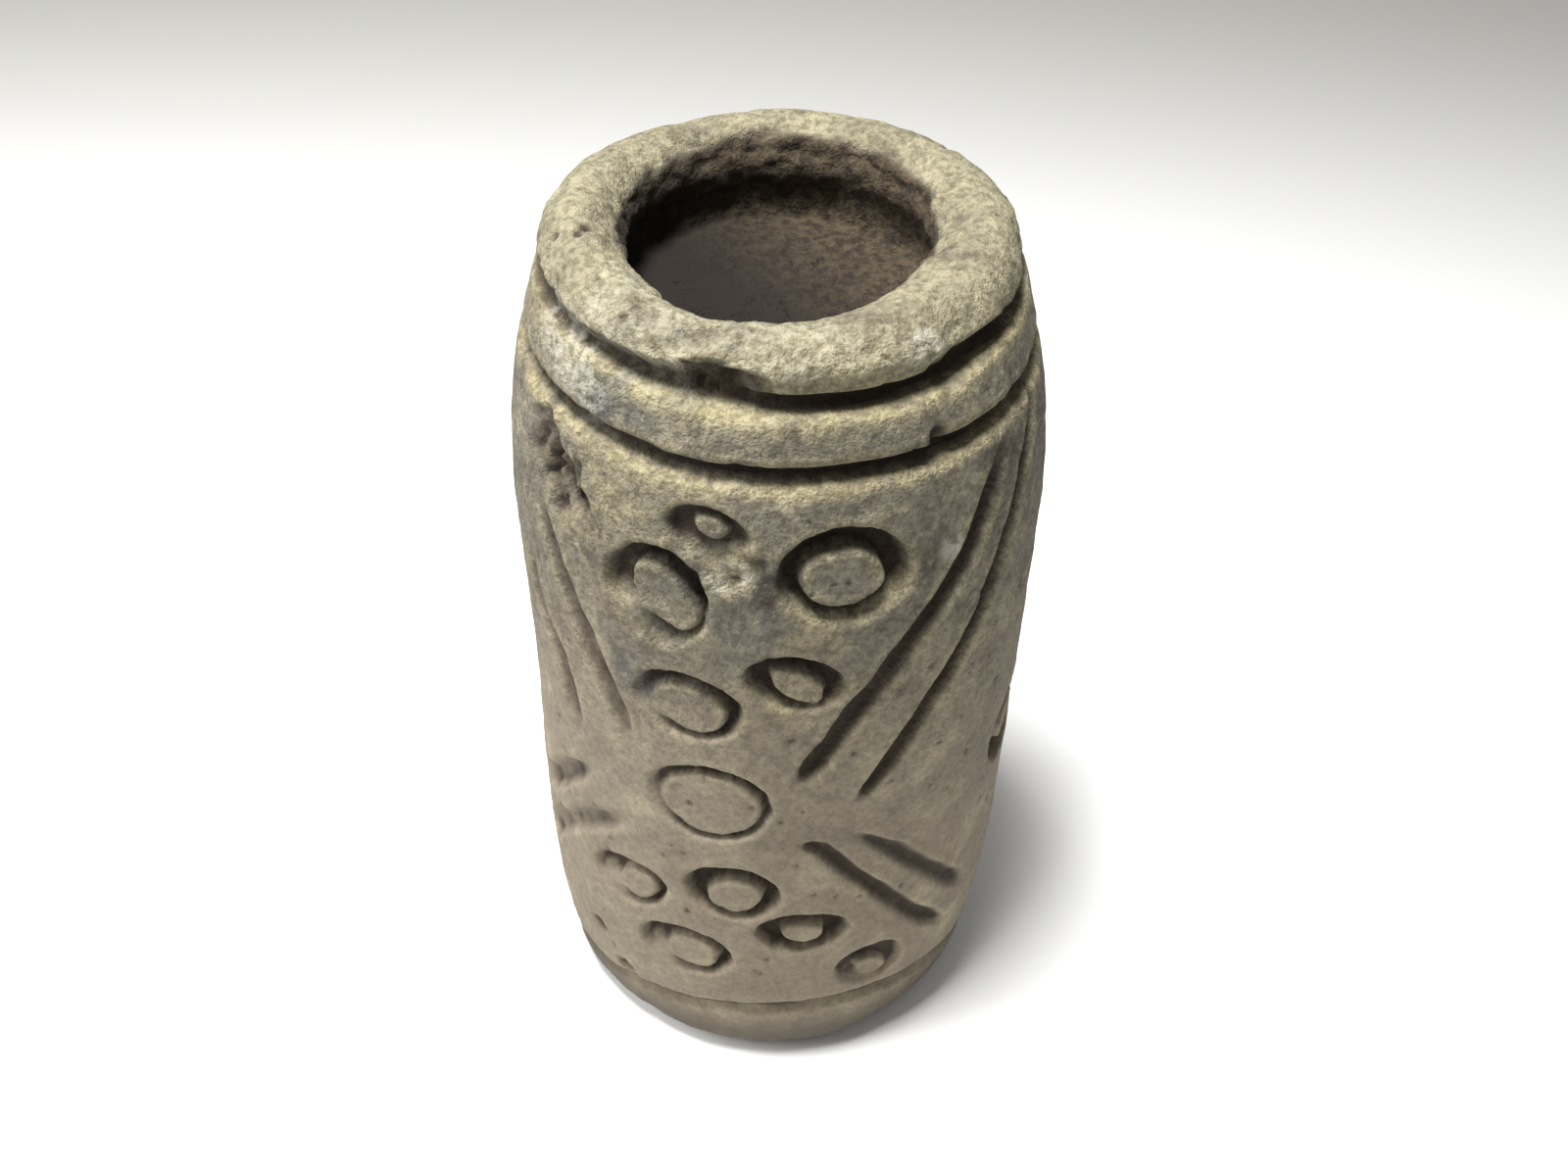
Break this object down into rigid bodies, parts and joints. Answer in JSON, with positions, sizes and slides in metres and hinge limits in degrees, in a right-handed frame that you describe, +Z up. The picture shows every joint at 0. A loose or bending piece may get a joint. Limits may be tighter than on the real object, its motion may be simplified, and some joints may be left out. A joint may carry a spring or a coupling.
{
  "type": "cylinder seal",
  "caption": "Standing fired-clay cylinder seal: rolled rim round a shallow recess, cut lines, and fields of impressed reed rings framed by slanting strokes.",
  "frame": {"origin": "middle of the flat foot, on the surface the seal stands on", "axes": "+Z up the seal's axis to the rim; -Y out of the front field of ring marks; +X to that field's right as seen from the front"},
  "size_m": [0.032, 0.032, 0.06],
  "materials": {
    "fired_clay": "matt, unglazed grey-olive to grey-brown earthenware with soil-darkened grooves and ochre wear on edges"
  },
  "bodies": {
    "root": {"seal_body": "fired_clay"}
  },
  "joints": []
}
